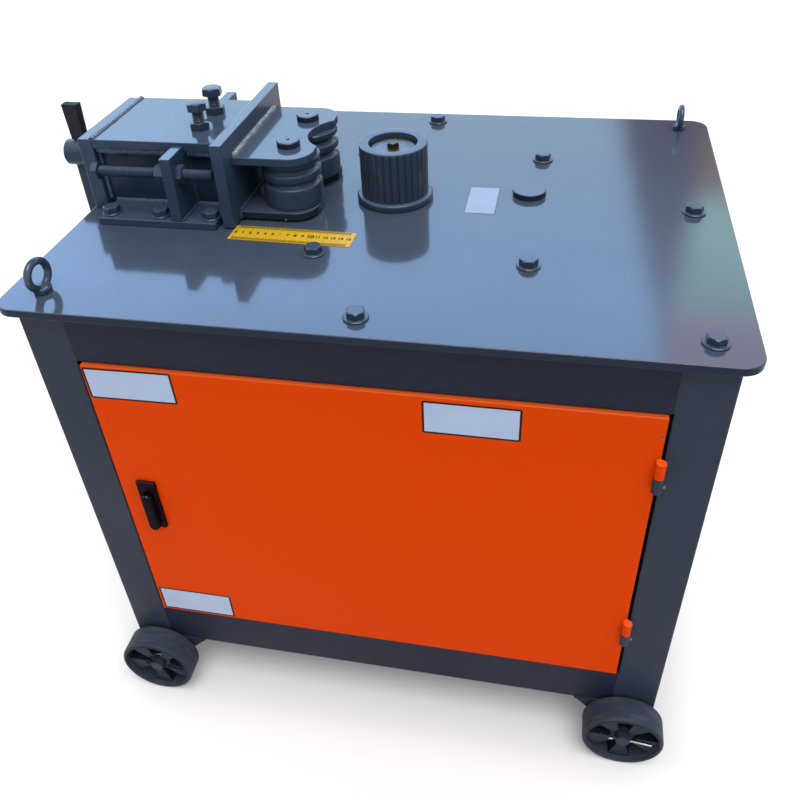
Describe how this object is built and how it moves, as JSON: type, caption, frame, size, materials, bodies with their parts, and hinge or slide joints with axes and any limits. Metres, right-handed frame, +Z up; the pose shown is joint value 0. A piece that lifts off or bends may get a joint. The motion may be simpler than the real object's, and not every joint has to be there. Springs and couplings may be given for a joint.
{
  "type": "rebar ring bending machine",
  "caption": "Wheeled sheet-metal cabinet with a hinged door and a thick top plate, carrying a fluted drive roller and a screw-fed head of pressure rollers that bends bar into rings.",
  "frame": {"origin": "on the floor, under the middle of the machine's overall box", "axes": "+X along the table from the screw handle to the free end, +Y from the door to the rear, +Z up"},
  "size_m": [0.903, 0.684, 0.859],
  "materials": {
    "slate_paint": "gloss",
    "orange_paint": "gloss",
    "zinc_steel": "satin",
    "machined_steel": "satin",
    "cast_case": "satin",
    "motor_paint": "satin",
    "black_plastic": "matte",
    "grey_plastic": "satin",
    "white_plastic": "satin",
    "ruler_yellow": "satin",
    "wheel_rubber": "matte"
  },
  "bodies": {
    "frame": {"table_plate": "slate_paint", "front_left_post": "slate_paint", "front_right_post": "slate_paint", "rear_left_post": "slate_paint", "rear_right_post": "slate_paint", "front_top_rail": "slate_paint", "front_bottom_rail": "slate_paint", "left_side_panel": "slate_paint", "right_side_panel": "slate_paint", "rear_panel": "slate_paint", "floor_pan": "slate_paint", "axle_brackets": "slate_paint", "housing_end_plate": "slate_paint", "housing_top_plate": "slate_paint", "side_plates": "slate_paint", "base_flanges": "slate_paint", "stop_brackets": "slate_paint", "hinge_pins": "slate_paint", "table_bolts": "zinc_steel", "eye_bolts": "zinc_steel", "base_bolts": "zinc_steel", "stop_bolts": "zinc_steel", "jack_bolts": "zinc_steel", "axle_retainers": "zinc_steel", "wheel_axles": "machined_steel", "bearings": "machined_steel", "gib_strip": "machined_steel", "shaft_cap": "machined_steel", "gear_case": "cast_case", "gear_case_cover": "cast_case", "gear_head": "cast_case", "motor_shell": "motor_paint", "switch_box": "grey_plastic", "ruler_strip": "ruler_yellow"},
    "drive": {"drive_roller": "slate_paint", "drive_spindle": "machined_steel", "roller_washer": "white_plastic", "roller_bolt": "zinc_steel", "spindle_gear": "machined_steel"},
    "pinion": {"pinion_shaft": "machined_steel"},
    "rotor": {"motor_rotor": "machined_steel"},
    "screw": {"lead_screw": "machined_steel", "screw_handle": "slate_paint", "handle_grips": "black_plastic"},
    "head": {"ram_block": "machined_steel", "head_plate": "slate_paint", "upper_roller_plate": "slate_paint", "lower_roller_plate": "slate_paint", "roller_pins": "zinc_steel"},
    "front_roller": {"front_pressure_roller": "slate_paint"},
    "rear_roller": {"rear_pressure_roller": "slate_paint"},
    "door_leaf": {"door": "orange_paint", "latch_plate": "black_plastic"},
    "latch": {"latch_handle": "black_plastic", "latch_cam": "machined_steel"},
    "front_left_wheel_body": {"front_left_wheel": "wheel_rubber"},
    "front_right_wheel_body": {"front_right_wheel": "wheel_rubber"},
    "rear_left_wheel_body": {"rear_left_wheel": "wheel_rubber"},
    "rear_right_wheel_body": {"rear_right_wheel": "wheel_rubber"}
  },
  "joints": [
    {"name": "drive_turn", "type": "hinge", "parent": "frame", "child": "drive", "pos_m": [0.0205, 0.01, 0.725], "axis": [0, 0, 1], "continuous": true},
    {"name": "pinion_turn", "type": "hinge", "parent": "frame", "child": "pinion", "pos_m": [0.19866, 0.03567, 0.655], "axis": [0, 0, 1], "continuous": true},
    {"name": "rotor_turn", "type": "hinge", "parent": "frame", "child": "rotor", "pos_m": [0.19866, 0.03567, 0.4], "axis": [0, 0, 1], "continuous": true},
    {"name": "screw_turn", "type": "hinge", "parent": "frame", "child": "screw", "pos_m": [-0.4, 0.01, 0.772], "axis": [1, 0, 0], "range_deg": [-464, 3450]},
    {"name": "head_slide", "type": "slide", "parent": "frame", "child": "head", "axis": [1, 0, 0], "range_m": [-0.0065, 0.048]},
    {"name": "front_roller_turn", "type": "hinge", "parent": "head", "child": "front_roller", "pos_m": [-0.1065, -0.035, 0.77], "axis": [0, 0, 1], "continuous": true},
    {"name": "rear_roller_turn", "type": "hinge", "parent": "head", "child": "rear_roller", "pos_m": [-0.1065, 0.055, 0.77], "axis": [0, 0, 1], "continuous": true},
    {"name": "door_swing", "type": "hinge", "parent": "frame", "child": "door_leaf", "pos_m": [0.3725, -0.3111, 0.403], "axis": [0, 0, 1], "range_deg": [0, 165]},
    {"name": "latch_turn", "type": "hinge", "parent": "door_leaf", "child": "latch", "pos_m": [-0.2685, -0.312, 0.4275], "axis": [0, 1, 0], "range_deg": [0, 90]},
    {"name": "front_left_wheel_turn", "type": "hinge", "parent": "frame", "child": "front_left_wheel_body", "pos_m": [-0.3305, -0.322, 0.057], "axis": [0, 1, 0], "continuous": true},
    {"name": "front_right_wheel_turn", "type": "hinge", "parent": "frame", "child": "front_right_wheel_body", "pos_m": [0.3935, -0.322, 0.057], "axis": [0, 1, 0], "continuous": true},
    {"name": "rear_left_wheel_turn", "type": "hinge", "parent": "frame", "child": "rear_left_wheel_body", "pos_m": [-0.3305, 0.322, 0.057], "axis": [0, 1, 0], "continuous": true},
    {"name": "rear_right_wheel_turn", "type": "hinge", "parent": "frame", "child": "rear_right_wheel_body", "pos_m": [0.3935, 0.322, 0.057], "axis": [0, 1, 0], "continuous": true}
  ],
  "couplings": [
    {"joint": "pinion_turn", "follows": "drive_turn", "ratio": -4},
    {"joint": "rotor_turn", "follows": "drive_turn", "ratio": -32},
    {"joint": "head_slide", "follows": "screw_turn", "m_per_rad": 0.00079577}
  ]
}
